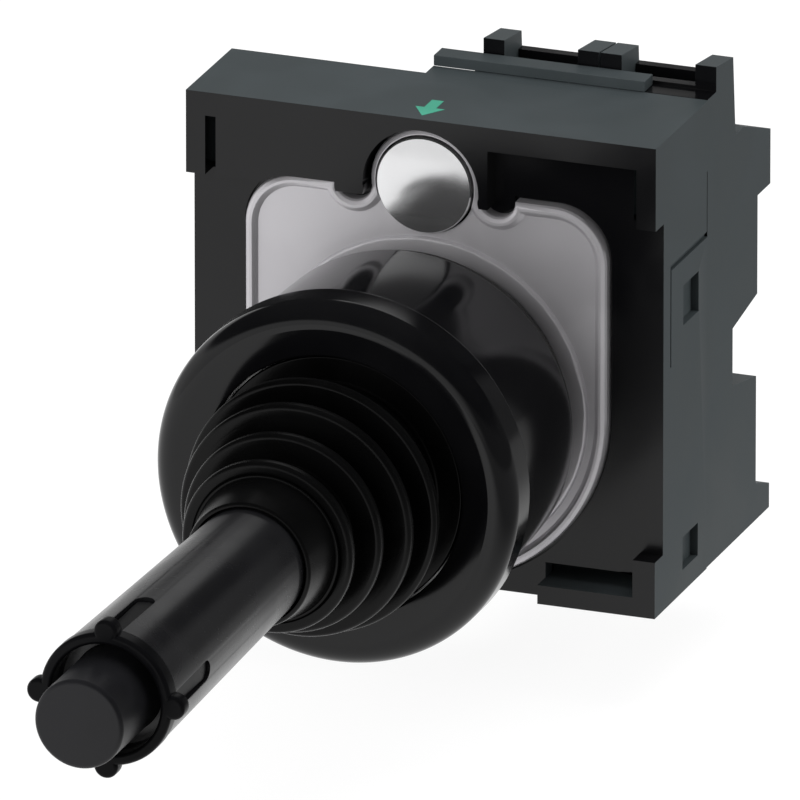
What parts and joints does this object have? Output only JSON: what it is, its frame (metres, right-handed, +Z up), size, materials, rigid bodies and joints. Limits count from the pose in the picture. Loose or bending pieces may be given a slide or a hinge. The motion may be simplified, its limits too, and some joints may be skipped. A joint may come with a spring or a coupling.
{
  "type": "panel joystick",
  "caption": "Panel-mount joystick with a rubber-booted lever, a release button in its handle, a clamping holder behind the panel and screw-terminal contact modules.",
  "frame": {"origin": "on the lever's axis, at the front face of the panel, in the middle of the panel hole", "axes": "+X right as seen by the user, +Y back through the panel, +Z up; the lever stands out along -Y"},
  "size_m": [0.04, 0.1038, 0.0421],
  "materials": {
    "gloss_black_plastic": "polished moulded black plastic",
    "boot_rubber": "satin black rubber",
    "gasket_rubber": "matt black rubber",
    "glass_filled_plastic": "glass-filled black plastic",
    "holder_plastic": "matt dark grey moulded plastic",
    "module_plastic": "matt dark grey moulded plastic",
    "handle_plastic": "semi-gloss moulded black plastic",
    "button_plastic": "satin charcoal plastic",
    "white_plastic": "natural acetal",
    "cast_zinc": "fine-blasted die casting",
    "polished_zinc": "polished and plated",
    "plated_steel": "zinc-plated steel",
    "pin_steel": "ground steel",
    "spring_steel": "spring wire",
    "brass_ring": "turned brass",
    "contact_copper": "stamped copper alloy with silvered pips"
  },
  "bodies": {
    "housing": {"bezel": "gloss_black_plastic", "boot": "boot_rubber", "boot_clamp_ring": "plated_steel", "gasket": "gasket_rubber", "collar": "glass_filled_plastic", "yaw_pins": "pin_steel", "ram_guide": "glass_filled_plastic", "ram_retainer": "glass_filled_plastic", "retainer_screws": "plated_steel", "ram_spring_up": "spring_steel", "ram_spring_down": "spring_steel", "ram_spring_right": "spring_steel", "ram_spring_left": "spring_steel", "plunger_spring_up": "spring_steel", "plunger_spring_down": "spring_steel", "plunger_spring_right": "spring_steel", "plunger_spring_left": "spring_steel", "holder": "holder_plastic", "clamp_plate": "cast_zinc", "screw_insert": "brass_ring", "module_housing_inner": "module_plastic", "module_housing_outer": "module_plastic", "module_cover_inner": "module_plastic", "module_cover_outer": "module_plastic", "fixed_contacts": "contact_copper", "terminal_washers": "plated_steel", "terminal_screws": "plated_steel"},
    "gimbal": {"gimbal_ring": "brass_ring"},
    "lever": {"swash_plate": "white_plastic", "pitch_pins": "pin_steel", "lever_stem": "pin_steel", "stem_nut": "plated_steel", "handle": "handle_plastic", "end_ring": "gloss_black_plastic", "button_spring": "spring_steel"},
    "button": {"release_button": "button_plastic", "release_rod": "pin_steel"},
    "latch": {"latch_plate": "plated_steel", "latch_bar": "module_plastic"},
    "foot": {"clamp_foot": "polished_zinc"},
    "screw": {"clamp_screw": "plated_steel"},
    "ram_up_set": {"ram_up": "white_plastic", "plunger_up": "white_plastic", "bridge_up": "contact_copper"},
    "ram_down_set": {"ram_down": "white_plastic", "plunger_down": "white_plastic", "bridge_down": "contact_copper"},
    "ram_right_set": {"ram_right": "white_plastic", "plunger_right": "white_plastic", "bridge_right": "contact_copper"},
    "ram_left_set": {"ram_left": "white_plastic", "plunger_left": "white_plastic", "bridge_left": "contact_copper"}
  },
  "joints": [
    {"name": "lever_yaw", "type": "hinge", "parent": "housing", "child": "gimbal", "pos_m": [0, -0.0095, 0], "axis": [0, 0, 1], "range_deg": [-15, 15], "stiffness_Nm_per_rad": 0.6, "deforming": ["boot"]},
    {"name": "lever_pitch", "type": "hinge", "parent": "gimbal", "child": "lever", "pos_m": [0, -0.0095, 0], "axis": [1, 0, 0], "range_deg": [-15, 15], "stiffness_Nm_per_rad": 0.6, "deforming": ["boot"]},
    {"name": "button_press", "type": "slide", "parent": "lever", "child": "button", "axis": [0, 1, 0], "range_m": [0, 0.003], "stiffness_N_per_m": 800, "springref_m": -0.001, "deforming": ["button_spring"]},
    {"name": "ram_up_slide", "type": "slide", "parent": "housing", "child": "ram_up_set", "axis": [0, 1, 0], "range_m": [-0.0011, 0.0011], "deforming": ["ram_spring_up", "plunger_spring_up"]},
    {"name": "ram_down_slide", "type": "slide", "parent": "housing", "child": "ram_down_set", "axis": [0, 1, 0], "range_m": [-0.0011, 0.0011], "deforming": ["ram_spring_down", "plunger_spring_down"]},
    {"name": "ram_right_slide", "type": "slide", "parent": "housing", "child": "ram_right_set", "axis": [0, 1, 0], "range_m": [-0.0011, 0.0011], "deforming": ["ram_spring_right", "plunger_spring_right"]},
    {"name": "ram_left_slide", "type": "slide", "parent": "housing", "child": "ram_left_set", "axis": [0, 1, 0], "range_m": [-0.0011, 0.0011], "deforming": ["ram_spring_left", "plunger_spring_left"]},
    {"name": "latch_slide", "type": "slide", "parent": "housing", "child": "latch", "axis": [1, 0, 0], "range_m": [-0.003, 0]},
    {"name": "clamp_feed", "type": "slide", "parent": "housing", "child": "foot", "axis": [0, -1, 0], "range_m": [-0.0007, 0.00024]},
    {"name": "screw_turn", "type": "hinge", "parent": "foot", "child": "screw", "pos_m": [0, 0.009, 0.0183], "axis": [0, -1, 0], "range_deg": [-365, 128]}
  ],
  "couplings": [
    {"joint": "ram_right_slide", "follows": "lever_yaw", "m_per_rad": 0.0042},
    {"joint": "ram_left_slide", "follows": "lever_yaw", "m_per_rad": -0.0042},
    {"joint": "ram_up_slide", "follows": "lever_pitch", "m_per_rad": -0.0042},
    {"joint": "ram_down_slide", "follows": "lever_pitch", "m_per_rad": 0.0042},
    {"joint": "screw_turn", "follows": "clamp_feed", "rad_per_m": 8976}
  ]
}
